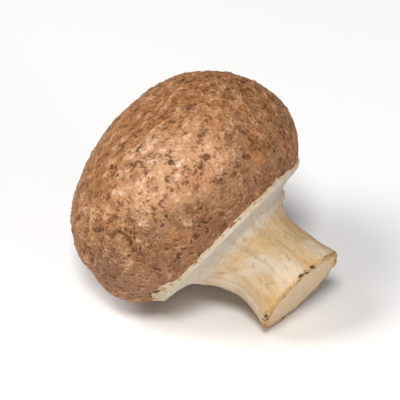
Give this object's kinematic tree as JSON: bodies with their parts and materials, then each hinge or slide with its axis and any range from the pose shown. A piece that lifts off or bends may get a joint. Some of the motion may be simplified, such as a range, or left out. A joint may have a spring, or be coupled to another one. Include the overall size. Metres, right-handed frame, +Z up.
{
  "type": "button mushroom",
  "caption": "Brown button mushroom lying on its side: scaly domed cap curling in to a closed white veil, on a stout trimmed stem.",
  "frame": {"origin": "on the table, under the middle of the lying mushroom's box", "axes": "+Z up from the table, +X along the mushroom in plan towards the stem's cut end, +Y across it"},
  "size_m": [0.047, 0.0438, 0.0408],
  "materials": {
    "cap_skin": "matte fibrous brown skin with flattened scales",
    "veil_skin": "matte white membrane",
    "stem_flesh": "satin cream flesh with fine fibres and a dry cut end"
  },
  "bodies": {
    "root": {"cap": "cap_skin", "veil": "veil_skin", "stem": "stem_flesh"}
  },
  "joints": []
}
